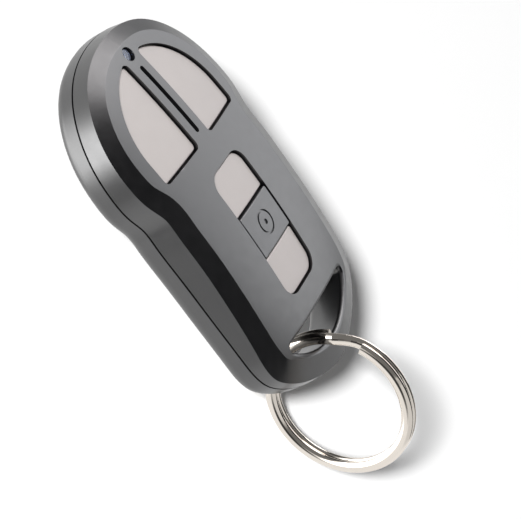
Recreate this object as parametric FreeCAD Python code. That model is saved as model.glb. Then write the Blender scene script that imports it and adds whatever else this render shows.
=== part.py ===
import FreeCAD, Part
import math
import os

from FreeCAD import Vector

# A key fob transmitter lying on its flat back, all sizes in millimetres.
# +X is the right side, +Y the head, -Y the tail with the key ring, +Z the button side.
# The origin is the point of the back face below the highest point of the crowned front.

# Outline of the case, seen from the front
HEAD_RADIUS = 17.9
HEAD_CENTRE_Y = 10.8
HEAD_FLATTENING = 0.7
HEAD_TOP_Y = HEAD_CENTRE_Y + HEAD_RADIUS - HEAD_FLATTENING
HEAD_END_ANGLE = 103.0
WAIST_DRAW_IN = 1.32
WAIST_HALF_WIDTH = HEAD_RADIUS - WAIST_DRAW_IN
WAIST_Y = 4.2
TAIL_DRAW_IN = 0.95
TAIL_HALF_WIDTH = HEAD_RADIUS - TAIL_DRAW_IN
TAIL_SIDE_END_Y = -19.5
TAIL_CORNER_Y = -21.7
TAIL_CORNER_RADIUS = 6.8
TAIL_END_BEND_X = 4.9
TAIL_END_BEND_RISE = 0.86
TAIL_END_Y = -32.7
OUTLINE_SAMPLES = 64

# Heights of the case
FACE_HEIGHT = 10.3
PARTING_HEIGHT = 4.3
CROWN_RADIUS_LONG = 150.0
CROWN_RADIUS_ACROSS = 97.0
TAIL_SWEEP_START_Y = -21.6
TAIL_SWEEP_RADIUS = 60.0

# Relief of the front: a plateau and a sloping facet from its edge to the drawn-in side wall
PLATEAU_HEAD_INSET = 2.5
PLATEAU_NECK_INSET = 3.1
PLATEAU_NECK_RISE = 4.0
PLATEAU_SIDE_INSET = 3.55
PLATEAU_TAIL_INSET = 3.2
PLATEAU_EDGE_RADIUS = 0.15
FACET_DROP = 0.8
FACET_REACH = 0.35
WALL_LEAN_ANGLE = 7.3
BACK_EDGE_RADIUS = 2.1
PARTING_GROOVE_DEPTH = 0.35
PARTING_GROOVE_HEIGHT = 0.3

# Walls of the two covers
WALL = 1.5
FLOOR = 1.3
FRONT_SKIN = 1.25
FACET_SKIN = 1.05
ROOF_STEP_INSET = 3.5

# Leaf-shaped button openings either side of the middle rib
LEAF_RADIUS = 12.5
LEAF_CENTRE_Y = 11.2
LEAF_BOTTOM_Y = 7.3
RIB_HALF_WIDTH = 2.06
LEAF_CORNER_RADIUS = 0.9
LEAF_SWITCH_X = 7.0
LEAF_SWITCH_Y = 13.4

# Pocket for the three lower buttons
POCKET_HALF_WIDTH = 5.25
POCKET_TOP_Y = 3.05
POCKET_BOTTOM_Y = -19.0
POCKET_CORNER_RADIUS = 2.6
UPPER_SPLIT_Y = -4.3
LOWER_SPLIT_Y = -11.65

# Fits round the buttons
BUTTON_GAP = 0.22
BUTTON_SPLIT_GAP = 0.3
BUTTON_RECESS = 0.5
MIDDLE_BUTTON_RECESS = 0.12
FLANGE_MARGIN = 0.7
FLANGE_TOP_GAP = 0.08
BUTTON_TRAVEL = 0.3
BUTTON_EDGE_RADIUS = 0.2
SPLIT_CORNER_RADIUS = 0.35

# Engraved ring and dot on the middle button
MARK_RADIUS = 1.75
MARK_LINE = 0.34
MARK_DOT_RADIUS = 0.42
MARK_DEPTH = 0.22

# Groove in the rib and the opening for the indicator lens
GROOVE_TOP_Y = 21.4
GROOVE_BOTTOM_Y = 8.8
GROOVE_WIDTH = 0.9
GROOVE_DEPTH = 0.75
LENS_Y = 23.8
LENS_HOLE_RADIUS = 1.15
LENS_FIT_GAP = 0.06
LENS_RECESS = 0.45
LENS_FLANGE_RADIUS = 1.45
LENS_FLANGE_GAP = 0.1
LENS_FLANGE_HEIGHT = 0.5

# Slot in the tail for the key ring
SLOT_TOP_Y = -23.1
SLOT_HALF_WIDTH = 10.7
SLOT_BOTTOM_Y = -28.4
SLOT_SIDE_DEPTH = 1.0
SLOT_WALL = 1.3
SLOT_FRONT_EDGE_RADIUS = 0.6
SLOT_BACK_EDGE_RADIUS = 1.3

# Key ring: two turns of flattened wire with crowned faces
RING_OUTER_RADIUS = 12.0
RING_WIRE_WIDTH = 1.9
RING_INNER_RADIUS = RING_OUTER_RADIUS - RING_WIRE_WIDTH
RING_TURN_THICKNESS = 1.05
RING_TURN_GAP = 0.04
RING_JOG_ANGLE = 28.0
RING_JOG_START = 26.0
RING_EDGE_THICKNESS = 0.5
RING_EDGE_BULGE = 0.15
RING_CENTRE_X = -4.9
RING_CENTRE_Y = -37.0
RING_CENTRE_Z = 4.3
RING_YAW = 6.6

# Circuit board and what holds it
BOARD_BOTTOM = 4.2
BOARD_THICKNESS = 0.8
BOARD_EDGE_GAP = 0.6
BOARD_END_Y = -20.6
BOARD_POST_RADIUS = 1.0
BOARD_HEAD_INSET = 2.5
BOARD_HEAD_RADIUS = HEAD_RADIUS - BOARD_HEAD_INSET
BOARD_POST_X = 13.45
BOARD_POST_TOP_Y = 15.4
BOARD_POST_LOW_Y = -9.5
BOARD_POST_SPIGOT_RADIUS = 0.5
BOARD_POST_SPIGOT_GAP = 0.08
BOARD_CLAMP_GAP = 0.05

# Case screws at the tail corners
SCREW_X = 12.9
SCREW_Y = -18.9
SCREW_SHANK_RADIUS = 0.8
SCREW_HEAD_RADIUS = 1.6
SCREW_HEAD_HEIGHT = 1.0
SCREW_LENGTH = 5.6
SCREW_HEAD_CLEARANCE = 0.15
SCREW_SHANK_CLEARANCE = 0.12
SCREW_HEAD_SEAT = 1.7
SCREW_BOSS_RADIUS = 2.0
SCREW_SLOT_WIDTH = 0.42
SCREW_SLOT_DEPTH = 0.5

# Alignment lip between the covers
LIP_HEIGHT = 0.8
LIP_THICKNESS = 0.5
LIP_GAP = 0.08

# Snap switches on the board
SWITCH_SIZE_X = 4.4
SWITCH_SIZE_Y = 3.2
SWITCH_HEIGHT = 0.75
SWITCH_WALL = 0.45
SWITCH_FLOOR = 0.2
SWITCH_COVER_THICKNESS = 0.12
SWITCH_COVER_OVERHANG = 0.1
PLUNGER_RADIUS = 0.75
PLUNGER_RIM_RADIUS = 1.0
PLUNGER_GAP = 0.06
PLUNGER_RISE = 0.18
DOME_RADIUS = 1.1
DOME_THICKNESS = 0.05
SWITCH_LEG_LENGTH = 0.6
SWITCH_LEG_WIDTH = 0.6
SWITCH_LEG_THICKNESS = 0.15

# Silicone keypad sheet over the switches
KEYPAD_THICKNESS = 0.45
KEYPAD_NIB_RADIUS = 1.0
KEYPAD_NIB_HEIGHT = 0.12
KEYPAD_HALF_WIDTH = 7.6
KEYPAD_BOTTOM_Y = -19.4
KEYPAD_HEAD_RADIUS = 12.6
KEYPAD_TOP_Y = 20.4
KEYPAD_FOOT_RADIUS = 0.7
KEYPAD_FOOT_X = 5.6

# Coin cell and its contacts below the board
CELL_Y = 9.4
CELL_RADIUS = 10.0
CELL_HEIGHT = 2.4
CELL_CAN_WALL = 0.25
CELL_CAP_RADIUS = 8.9
CELL_GASKET_GAP = 0.02
CONTACT_THICKNESS = 0.15
CLIP_WIDTH = 6.0
CLIP_THICKNESS = 0.2
CLIP_SIDE_GAP = 0.25
CLIP_FOOT_LENGTH = 1.6

# Parts soldered to the board
CHIP_LENGTH = 1.6
CHIP_WIDTH = 0.8
CHIP_HEIGHT = 0.5
CHIP_END = 0.3
CONTROLLER_LENGTH = 5.0
CONTROLLER_WIDTH = 4.0
CONTROLLER_HEIGHT = 1.4
CONTROLLER_PITCH = 1.27
CONTROLLER_LEG_WIDTH = 0.42
RESONATOR_SIZE = 4.2
RESONATOR_HEIGHT = 1.3
TRANSISTOR_LENGTH = 2.9
TRANSISTOR_WIDTH = 1.4
TRANSISTOR_HEIGHT = 1.0
TRIMMER_RADIUS = 1.6
TRIMMER_HEIGHT = 1.2
ANTENNA_INSET = 2.95
ANTENNA_WIDTH = 0.8
ANTENNA_THICKNESS = 0.12
INDICATOR_GAP = 0.15

# Heights and places that follow from the sizes above
BOARD_TOP = BOARD_BOTTOM + BOARD_THICKNESS
SWITCH_TOP = BOARD_TOP + SWITCH_HEIGHT
PLUNGER_TOP = SWITCH_TOP + SWITCH_COVER_THICKNESS + PLUNGER_RISE
KEYPAD_BOTTOM = PLUNGER_TOP + KEYPAD_NIB_HEIGHT
KEYPAD_TOP = KEYPAD_BOTTOM + KEYPAD_THICKNESS
CELL_TOP = BOARD_BOTTOM - CONTACT_THICKNESS
CELL_BOTTOM = CELL_TOP - CELL_HEIGHT
TOO_HIGH = FACE_HEIGHT + 10.0
REACH = 60.0
SWITCHES = {
    "left": (-LEAF_SWITCH_X, LEAF_SWITCH_Y),
    "right": (LEAF_SWITCH_X, LEAF_SWITCH_Y),
    "upper": (0.0, (POCKET_TOP_Y + UPPER_SPLIT_Y) / 2),
    "middle": (0.0, (UPPER_SPLIT_Y + LOWER_SPLIT_Y) / 2),
    "lower": (0.0, (LOWER_SPLIT_Y + POCKET_BOTTOM_Y) / 2),
}


# Helpers

def box(x0, x1, y0, y1, z0, z1):
    """A block between two corners."""
    return Part.makeBox(x1 - x0, y1 - y0, z1 - z0, Vector(x0, y0, z0))


def disc(radius, x, y, z0, z1):
    """An upright round bar."""
    return Part.makeCylinder(radius, z1 - z0, Vector(x, y, z0))


def prism(wire, z0, z1):
    """The area inside a flat closed wire at height 0, raised between two heights."""
    face = Part.Face(wire)
    face.translate(Vector(0, 0, z0))
    return face.extrude(Vector(0, 0, z1 - z0))


def outline_points():
    """Points round the right half of the case outline, from head to tail."""
    points = []
    flattening = 1.0 - (HEAD_TOP_Y - HEAD_CENTRE_Y) / HEAD_RADIUS
    for step in range(8):
        a = math.radians(HEAD_END_ANGLE * step / 7.0)
        rise = HEAD_RADIUS * math.cos(a) * (1.0 - flattening * math.cos(a) ** 6)
        points.append((HEAD_RADIUS * math.sin(a), HEAD_CENTRE_Y + rise))
    for share in (0.0, 0.1, 0.33, 0.66, 1.0):
        points.append((WAIST_HALF_WIDTH + (TAIL_HALF_WIDTH - WAIST_HALF_WIDTH) * share,
                       WAIST_Y + (TAIL_SIDE_END_Y - WAIST_Y) * share))
    for angle in (0, 28, 54):
        a = math.radians(angle)
        points.append((TAIL_HALF_WIDTH - TAIL_CORNER_RADIUS * (1.0 - math.cos(a)),
                       TAIL_CORNER_Y - TAIL_CORNER_RADIUS * math.sin(a)))
    points.append((TAIL_END_BEND_X, TAIL_END_Y + TAIL_END_BEND_RISE))
    points.append((0.0, TAIL_END_Y))
    return points


def closed_curve(points):
    """A smooth closed curve through points."""
    curve = Part.BSplineCurve()
    curve.interpolate(points, PeriodicFlag=True)
    return curve


def outline_curve():
    """The case outline as a curve, from the head round the right side."""
    right = outline_points()
    left = [(-x, y) for x, y in right[-2:0:-1]]
    return closed_curve([Vector(x, y, 0) for x, y in right + left])


def outline_stations():
    """Points spread round the outline, each with its direction outwards."""
    curve = outline_curve()
    first, last = curve.FirstParameter, curve.LastParameter
    stations = []
    for i in range(OUTLINE_SAMPLES):
        u = first + (last - first) * i / OUTLINE_SAMPLES
        tangent = curve.tangent(u)[0]
        stations.append((curve.value(u), Vector(-tangent.y, tangent.x, 0)))
    return stations


def outline(inset=0.0):
    """The case outline as one wire, moved inwards by the inset."""
    if inset == 0.0:
        return Part.Wire(outline_curve().toShape())
    moved = [point - outwards * inset for point, outwards in outline_stations()]
    return Part.Wire(closed_curve(moved).toShape())


def under_crown(drop=0.0):
    """A wide block below the crowned front surface, lowered by the drop."""
    across = CROWN_RADIUS_ACROSS - drop
    along = CROWN_RADIUS_LONG - drop
    top = FACE_HEIGHT - drop
    centre = top - across
    half = TAIL_HALF_WIDTH + 7.0
    side = centre + math.sqrt(across ** 2 - half ** 2)
    left, right = Vector(-half, 0, side), Vector(half, 0, side)
    low = -4.0
    arc = Part.Arc(left, Vector(0, 0, top), right).toShape()
    edges = [arc,
             Part.makeLine(right, Vector(half, 0, low)),
             Part.makeLine(Vector(half, 0, low), Vector(-half, 0, low)),
             Part.makeLine(Vector(-half, 0, low), left)]
    face = Part.Face(Part.Wire(edges))
    axis_point = Vector(0, 0, top - along)
    angle = math.degrees(math.asin(REACH / along))
    face.rotate(axis_point, Vector(1, 0, 0), -angle / 2 - 3.0)
    return face.revolve(axis_point, Vector(1, 0, 0), angle + 6.0)


def edges_near(shape, test):
    """Edges of a shape whose sampled points all pass a test."""
    found = []
    for edge in shape.Edges:
        first, last = edge.ParameterRange
        samples = [edge.valueAt(first + (last - first) * t / 6.0) for t in range(7)]
        if all(test(p) for p in samples):
            found.append(edge)
    return found


def face_z(x, y, drop=0.0):
    """Height of the crowned front surface over a point."""
    across = CROWN_RADIUS_ACROSS - math.sqrt(CROWN_RADIUS_ACROSS ** 2 - x * x)
    return FACE_HEIGHT - drop - across - (CROWN_RADIUS_LONG - math.sqrt(CROWN_RADIUS_LONG ** 2 - y * y))


def back_z(y):
    """Height of the back: flat, and swept up towards the tail end."""
    past = TAIL_SWEEP_START_Y - y
    if past <= 0.0:
        return 0.0
    return TAIL_SWEEP_RADIUS - math.sqrt(TAIL_SWEEP_RADIUS ** 2 - past ** 2)


def on_back(p):
    """Whether a point lies on the back face."""
    return abs(p.z - back_z(p.y)) < 1e-3


def back_edges(body):
    """Edges round the back face, without the line across it where its sweep starts."""
    return [edge for edge in edges_near(body, on_back) if edge.BoundBox.YLength > 0.01]


def leaf_wire(side, grow=0.0, corner=LEAF_CORNER_RADIUS):
    """Outline of a leaf opening; side is 1 for right and -1 for left, grow widens it."""
    radius = LEAF_RADIUS + grow
    inner = RIB_HALF_WIDTH - grow
    bottom = LEAF_BOTTOM_Y - grow
    tip = LEAF_CENTRE_Y + math.sqrt(radius ** 2 - inner ** 2)
    a = math.atan2(tip - LEAF_CENTRE_Y, inner) / 2
    middle = Vector(side * radius * math.cos(a), LEAF_CENTRE_Y + radius * math.sin(a), 0)
    p0 = Vector(side * inner, bottom, 0)
    p1 = Vector(side * radius, bottom, 0)
    p2 = Vector(side * radius, LEAF_CENTRE_Y, 0)
    p3 = Vector(side * inner, tip, 0)
    edges = [Part.makeLine(p0, p1), Part.makeLine(p1, p2), Part.Arc(p2, middle, p3).toShape(),
             Part.makeLine(p3, p0)]
    solid = Part.Face(Part.Wire(edges)).extrude(Vector(0, 0, 1))
    upright = [e for e in solid.Edges
               if abs(e.tangentAt(e.FirstParameter).z) > 0.99 and (e.CenterOfMass - p2).Length > 1.0]
    solid = solid.makeFillet(max(corner + grow, 0.3), upright)
    flat = [f for f in solid.Faces if abs(f.CenterOfMass.z) < 1e-6]
    return flat[0].OuterWire


def rounded_box_wire(x0, x1, y0, y1, low=0.0, high=0.0):
    """A rectangle with its two lower and its two upper corners rounded separately."""
    solid = box(x0, x1, y0, y1, 0, 1)
    for radius, level in ((low, y0), (high, y1)):
        if radius > 0:
            upright = [e for e in solid.Edges if abs(e.tangentAt(e.FirstParameter).z) > 0.99]
            upright = [e for e in upright if abs(e.CenterOfMass.y - level) < 0.01]
            solid = solid.makeFillet(radius, upright)
    flat = [f for f in solid.Faces if abs(f.CenterOfMass.z) < 1e-6]
    return flat[0].OuterWire


def slot_wire(grow=0.0):
    """D-shaped outline of the tail slot: straight towards the head, curved towards the end."""
    half = SLOT_HALF_WIDTH + grow
    top = SLOT_TOP_Y + grow
    side = SLOT_TOP_Y - SLOT_SIDE_DEPTH
    left, right = Vector(-half, side, 0), Vector(half, side, 0)
    edges = [Part.Arc(right, Vector(0, SLOT_BOTTOM_Y - grow, 0), left).toShape(),
             Part.makeLine(left, Vector(-half, top, 0)),
             Part.makeLine(Vector(-half, top, 0), Vector(half, top, 0)),
             Part.makeLine(Vector(half, top, 0), right)]
    solid = Part.Face(Part.Wire(edges)).extrude(Vector(0, 0, 1))
    upright = [e for e in solid.Edges if abs(e.tangentAt(e.FirstParameter).z) > 0.99]
    solid = solid.makeFillet(0.45 + max(grow, 0.0), upright)
    flat = [f for f in solid.Faces if abs(f.CenterOfMass.z) < 1e-6]
    return flat[0].OuterWire


def screw_places():
    """Places of the two case screws."""
    return [(-SCREW_X, SCREW_Y), (SCREW_X, SCREW_Y)]


def post_places():
    """Places of the posts under the circuit board."""
    return [(x, y) for x in (-BOARD_POST_X, BOARD_POST_X) for y in (BOARD_POST_TOP_Y, BOARD_POST_LOW_Y)]


# Case

def plateau_inset(y):
    """How far the plateau's edge lies inside the outline beside a place along the case."""
    steps = [(TAIL_END_Y, PLATEAU_TAIL_INSET), (SLOT_TOP_Y, PLATEAU_SIDE_INSET),
             (WAIST_Y, PLATEAU_SIDE_INSET), (WAIST_Y + PLATEAU_NECK_RISE, PLATEAU_NECK_INSET),
             (HEAD_TOP_Y + 1.0, PLATEAU_HEAD_INSET)]
    for (y0, inset0), (y1, inset1) in zip(steps, steps[1:]):
        if y <= y1:
            return inset0 + (inset1 - inset0) * (y - y0) / (y1 - y0)
    return PLATEAU_HEAD_INSET


def wall_lean(z):
    """How far the front cover's wall has drawn in at a height."""
    return (z - PARTING_HEIGHT) * math.tan(math.radians(WALL_LEAN_ANGLE))


def facet_rails():
    """Two rows of points round the case between which the facet's surface lies, beyond both its edges."""
    outer, inner = [], []
    for point, outwards in outline_stations():
        foot = point - outwards * wall_lean(face_z(point.x, point.y, FACET_DROP))
        foot.z = face_z(foot.x, foot.y, FACET_DROP)
        edge = point - outwards * plateau_inset(point.y)
        edge.z = face_z(edge.x, edge.y)
        outer.append(foot + (foot - edge) * FACET_REACH)
        inner.append(edge + (edge - foot) * FACET_REACH)
    return outer, inner


def above_facet():
    """The space above the facet all round the plateau, as a closed ring."""
    outer, inner = facet_rails()
    rows = [outer, inner]
    rows += [[Vector(p.x, p.y, TOO_HIGH) for p in row] for row in (inner, outer)]
    wires = [Part.Wire(closed_curve(row).toShape()) for row in rows]
    faces = []
    for first, second in zip(wires, wires[1:] + wires[:1]):
        faces += Part.makeLoft([first, second], False, True).Faces
    shell = Part.makeShell(faces)
    shell.sewShape()
    return Part.Solid(shell)


def plateau_edge(cover):
    """The edge round the plateau: the longest of the edges on the crowned surface."""
    found = []
    for edge in cover.Edges:
        p = edge.valueAt((edge.FirstParameter + edge.LastParameter) / 2)
        if abs(face_z(p.x, p.y) - p.z) < 0.1:
            found.append(edge)
    return max(found, key=lambda edge: edge.Length)


def front_body():
    """The closed outer shape of the front cover, without openings."""
    low = outline()
    low.translate(Vector(0, 0, PARTING_HEIGHT))
    high = outline(wall_lean(TOO_HIGH))
    high.translate(Vector(0, 0, TOO_HIGH))
    return Part.makeLoft([low, high], True, True).common(under_crown()).cut(above_facet())


def rear_body():
    """The closed outer shape of the rear cover, without openings."""
    base = prism(outline(), 0.0, PARTING_HEIGHT)
    below_tail = box(-REACH, REACH, -REACH, TAIL_SWEEP_START_Y, -1.0, TAIL_SWEEP_RADIUS)
    sweep = Part.makeCylinder(TAIL_SWEEP_RADIUS, 2 * REACH,
                              Vector(-REACH, TAIL_SWEEP_START_Y, TAIL_SWEEP_RADIUS), Vector(1, 0, 0))
    base = base.cut(below_tail.cut(sweep))
    return base.makeFillet(BACK_EDGE_RADIUS, back_edges(base))


def cavity(z0, z1, inset):
    """Inner space of a cover between two heights, kept clear of the slot and screws."""
    space = prism(outline(inset), z0, z1)
    return space.cut(box(-REACH, REACH, -REACH, SLOT_TOP_Y + SLOT_WALL, z0 - 1, z1 + 1))


def slot_tool():
    """The space that the slot takes out of both covers."""
    return prism(slot_wire(), -1.0, TOO_HIGH)


def round_slot_rims(cover, front):
    """Round the rim of the slot on the outside of a cover."""
    half = SLOT_HALF_WIDTH + 0.1
    low = SLOT_BOTTOM_Y - 0.1
    high = SLOT_TOP_Y + 0.1

    def on_rim(p):
        inside = abs(p.x) <= half and low <= p.y <= high
        if front:
            return inside and abs(face_z(p.x, p.y) - p.z) < 0.05
        return inside and on_back(p)

    radius = SLOT_FRONT_EDGE_RADIUS if front else SLOT_BACK_EDGE_RADIUS
    return cover.makeFillet(radius, edges_near(cover, on_rim))


def make_front_cover():
    """Front cover: crowned top with openings, side wall down to the parting line and bosses."""
    cover = round_slot_rims(front_body().cut(slot_tool()), True)
    cover = cover.makeFillet(PLATEAU_EDGE_RADIUS, [plateau_edge(cover)])
    low_roof = cavity(PARTING_HEIGHT - 1, TOO_HIGH, WALL).common(under_crown(FACET_DROP + FACET_SKIN))
    high_roof = cavity(PARTING_HEIGHT - 1, TOO_HIGH, ROOF_STEP_INSET)
    high_roof = high_roof.common(under_crown(FRONT_SKIN))
    cover = cover.cut(low_roof.fuse(high_roof))
    for x, y in screw_places():
        boss = disc(SCREW_BOSS_RADIUS, x, y, PARTING_HEIGHT, TOO_HIGH).common(under_crown(FACET_DROP + 0.4))
        cover = cover.fuse(boss)
    for x, y in post_places():
        clamp = disc(BOARD_POST_RADIUS, x, y, BOARD_TOP + BOARD_CLAMP_GAP, TOO_HIGH)
        cover = cover.fuse(clamp.common(under_crown(FACET_DROP + 0.4)))
    for side in (-1, 1):
        cover = cover.cut(prism(leaf_wire(side), PARTING_HEIGHT, TOO_HIGH))
    cover = cover.cut(prism(pocket_wire(), PARTING_HEIGHT, TOO_HIGH))
    cover = cover.cut(disc(LENS_HOLE_RADIUS, 0, LENS_Y, PARTING_HEIGHT, TOO_HIGH))
    cover = cover.cut(disc(LENS_FLANGE_RADIUS + LENS_FLANGE_GAP, 0, LENS_Y, PARTING_HEIGHT - 1, lens_seat()))
    groove = prism(rounded_box_wire(-GROOVE_WIDTH / 2, GROOVE_WIDTH / 2, GROOVE_BOTTOM_Y, GROOVE_TOP_Y,
                                    GROOVE_WIDTH * 0.48, GROOVE_WIDTH * 0.48), PARTING_HEIGHT, TOO_HIGH)
    cover = cover.cut(groove.cut(under_crown(GROOVE_DEPTH)))
    for x, y in screw_places():
        depth = SCREW_HEAD_SEAT + SCREW_LENGTH
        cover = cover.cut(disc(SCREW_SHANK_RADIUS, x, y, 0, depth))
    return cover.cut(lip_ring(LIP_GAP)).removeSplitter()


def lip_ring(gap=0.0):
    """The lip of the rear cover that stands inside the wall of the front cover."""
    top = PARTING_HEIGHT + LIP_HEIGHT
    outer = prism(outline(WALL - LIP_THICKNESS - gap), PARTING_HEIGHT - gap, top + gap)
    inner = prism(outline(WALL + gap), PARTING_HEIGHT - 1, top + 1)
    ring = outer.cut(inner)
    return ring.cut(box(-REACH, REACH, -REACH, SLOT_TOP_Y + SLOT_WALL + 2.2 - gap, 0, TOO_HIGH))


def make_rear_cover():
    """Rear cover: flat back with rounded edge, parting groove, board posts, screw pillars and lip."""
    rebate_low = PARTING_HEIGHT - PARTING_GROOVE_HEIGHT
    rebate = prism(outline(), rebate_low, PARTING_HEIGHT + 1)
    rebate = rebate.cut(prism(outline(PARTING_GROOVE_DEPTH), rebate_low - 1, PARTING_HEIGHT + 2))
    cover = round_slot_rims(rear_body().cut(slot_tool()), False)
    cover = cover.cut(rebate)
    cover = cover.cut(cavity(FLOOR, PARTING_HEIGHT + 1, WALL))
    for x, y in screw_places():
        cover = cover.fuse(disc(SCREW_BOSS_RADIUS, x, y, FLOOR / 2, PARTING_HEIGHT))
    for x, y in post_places():
        cover = cover.fuse(disc(BOARD_POST_RADIUS, x, y, FLOOR / 2, BOARD_BOTTOM))
        spigot_top = BOARD_TOP - BOARD_POST_SPIGOT_GAP
        cover = cover.fuse(disc(BOARD_POST_SPIGOT_RADIUS, x, y, BOARD_BOTTOM - 0.5, spigot_top))
    cover = cover.fuse(lip_ring())
    for x, y in screw_places():
        cover = cover.cut(disc(SCREW_SHANK_RADIUS + SCREW_SHANK_CLEARANCE, x, y, -1, PARTING_HEIGHT + 1))
        cover = cover.cut(disc(SCREW_HEAD_RADIUS + SCREW_HEAD_CLEARANCE, x, y, -1, SCREW_HEAD_SEAT))
    return cover.removeSplitter()


def make_case_screws():
    """Two self-tapping screws put in from the back."""
    screws = []
    for x, y in screw_places():
        head_low = SCREW_HEAD_SEAT - SCREW_HEAD_HEIGHT
        head = disc(SCREW_HEAD_RADIUS, x, y, head_low, SCREW_HEAD_SEAT)
        head = head.makeFillet(0.3, edges_near(head, lambda p: abs(p.z - head_low) < 1e-4))
        tip = 0.5
        shank = disc(SCREW_SHANK_RADIUS, x, y, SCREW_HEAD_SEAT, SCREW_HEAD_SEAT + SCREW_LENGTH - tip)
        point = Part.makeCone(SCREW_SHANK_RADIUS, SCREW_SHANK_RADIUS / 2, tip - 0.1,
                              Vector(x, y, SCREW_HEAD_SEAT + SCREW_LENGTH - tip))
        screw = head.fuse(shank).fuse(point).removeSplitter()
        for turn in (0, 90):
            cross = box(-SCREW_HEAD_RADIUS * 0.6, SCREW_HEAD_RADIUS * 0.6, -SCREW_SLOT_WIDTH / 2,
                        SCREW_SLOT_WIDTH / 2, head_low - 0.1, head_low + SCREW_SLOT_DEPTH)
            cross.rotate(Vector(0, 0, 0), Vector(0, 0, 1), turn)
            cross.translate(Vector(x, y, 0))
            screw = screw.cut(cross)
        screws.append(screw)
    return Part.makeCompound(screws)


# Buttons

def pocket_wire():
    """Outline of the pocket for the three lower buttons."""
    return rounded_box_wire(-POCKET_HALF_WIDTH, POCKET_HALF_WIDTH, POCKET_BOTTOM_Y, POCKET_TOP_Y,
                            POCKET_CORNER_RADIUS, POCKET_CORNER_RADIUS)


def button(cap_wire, flange_wire, recess):
    """A cap that fills its opening, on a wider flange that rests on the keypad."""
    cap = prism(cap_wire, KEYPAD_TOP, TOO_HIGH).common(under_crown(recess))
    rim = edges_near(cap, lambda p: abs(face_z(p.x, p.y) - recess - p.z) < 0.02)
    cap = cap.makeFillet(BUTTON_EDGE_RADIUS, rim)
    flange = prism(flange_wire, KEYPAD_TOP, TOO_HIGH).common(under_crown(FRONT_SKIN + FLANGE_TOP_GAP))
    return cap.fuse(flange).removeSplitter()


def make_leaf_button(side):
    """A leaf-shaped button; side is 1 for right and -1 for left."""
    cap = leaf_wire(side, -BUTTON_GAP)
    flange = leaf_wire(side, FLANGE_MARGIN - BUTTON_GAP)
    return button(cap, flange, BUTTON_RECESS)


def make_pocket_button(y0, y1, low, high, recess):
    """One of the three lower buttons between two splits of the pocket."""
    half = POCKET_HALF_WIDTH - BUTTON_GAP
    bottom_gap = BUTTON_GAP if low else BUTTON_SPLIT_GAP / 2
    top_gap = BUTTON_GAP if high else BUTTON_SPLIT_GAP / 2
    radius = POCKET_CORNER_RADIUS - BUTTON_GAP
    cap = rounded_box_wire(-half, half, y0 + bottom_gap, y1 - top_gap,
                           radius if low else SPLIT_CORNER_RADIUS,
                           radius if high else SPLIT_CORNER_RADIUS)
    wide = half + FLANGE_MARGIN
    bottom = y0 + bottom_gap - (FLANGE_MARGIN if low else 0.0)
    top = y1 - top_gap + (FLANGE_MARGIN if high else 0.0)
    flange = rounded_box_wire(-wide, wide, bottom, top, radius if low else 0.0, radius if high else 0.0)
    return button(cap, flange, recess)


def make_middle_button():
    """The middle lower button with an engraved ring and centre dot."""
    shape = make_pocket_button(LOWER_SPLIT_Y, UPPER_SPLIT_Y, False, False, MIDDLE_BUTTON_RECESS)
    x, y = SWITCHES["middle"]
    ring = disc(MARK_RADIUS + MARK_LINE / 2, x, y, PARTING_HEIGHT, TOO_HIGH)
    ring = ring.cut(disc(MARK_RADIUS - MARK_LINE / 2, x, y, 0, TOO_HIGH))
    mark = ring.fuse(disc(MARK_DOT_RADIUS, x, y, PARTING_HEIGHT, TOO_HIGH))
    return shape.cut(mark.cut(under_crown(MIDDLE_BUTTON_RECESS + MARK_DEPTH)))


def make_silicone_keypad():
    """Silicone sheet below the buttons, with a nib over each switch and feet on the board."""
    head = disc(KEYPAD_HEAD_RADIUS, 0, LEAF_CENTRE_Y, KEYPAD_BOTTOM, KEYPAD_TOP)
    head = head.cut(box(-REACH, REACH, KEYPAD_TOP_Y, REACH, 0, TOO_HIGH))
    tail = box(-KEYPAD_HALF_WIDTH, KEYPAD_HALF_WIDTH, KEYPAD_BOTTOM_Y, LEAF_CENTRE_Y,
               KEYPAD_BOTTOM, KEYPAD_TOP)
    sheet = head.fuse(tail)
    for x, y in SWITCHES.values():
        sheet = sheet.fuse(disc(KEYPAD_NIB_RADIUS, x, y, PLUNGER_TOP, KEYPAD_TOP))
    for x, y in keypad_feet():
        sheet = sheet.fuse(disc(KEYPAD_FOOT_RADIUS, x, y, BOARD_TOP, KEYPAD_TOP))
    return sheet.removeSplitter()


def keypad_feet():
    """Places where the keypad stands on the board, between the switches."""
    return [(x, y) for x in (-KEYPAD_FOOT_X, KEYPAD_FOOT_X) for y in (UPPER_SPLIT_Y, LOWER_SPLIT_Y)]


def lens_seat():
    """Height of the seat inside the front cover that the lens flange presses on."""
    return face_z(LENS_FLANGE_RADIUS, LENS_Y + LENS_FLANGE_RADIUS, FRONT_SKIN) - FLANGE_TOP_GAP


def make_led_lens():
    """Clear light guide in the round hole near the head, held by its flange."""
    top = face_z(0, LENS_Y, LENS_RECESS)
    flange_top = lens_seat()
    foot = BOARD_TOP + CHIP_HEIGHT + INDICATOR_GAP
    rod = disc(LENS_HOLE_RADIUS - LENS_FIT_GAP, 0, LENS_Y, foot, top)
    rod = rod.makeFillet(0.35, edges_near(rod, lambda p: abs(p.z - top) < 1e-4))
    flange = disc(LENS_FLANGE_RADIUS, 0, LENS_Y, flange_top - LENS_FLANGE_HEIGHT, flange_top)
    return rod.fuse(flange).removeSplitter()


# Circuit board

def board_wire_inset():
    """How far the board's edge lies inside the case outline."""
    return WALL + BOARD_EDGE_GAP


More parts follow.
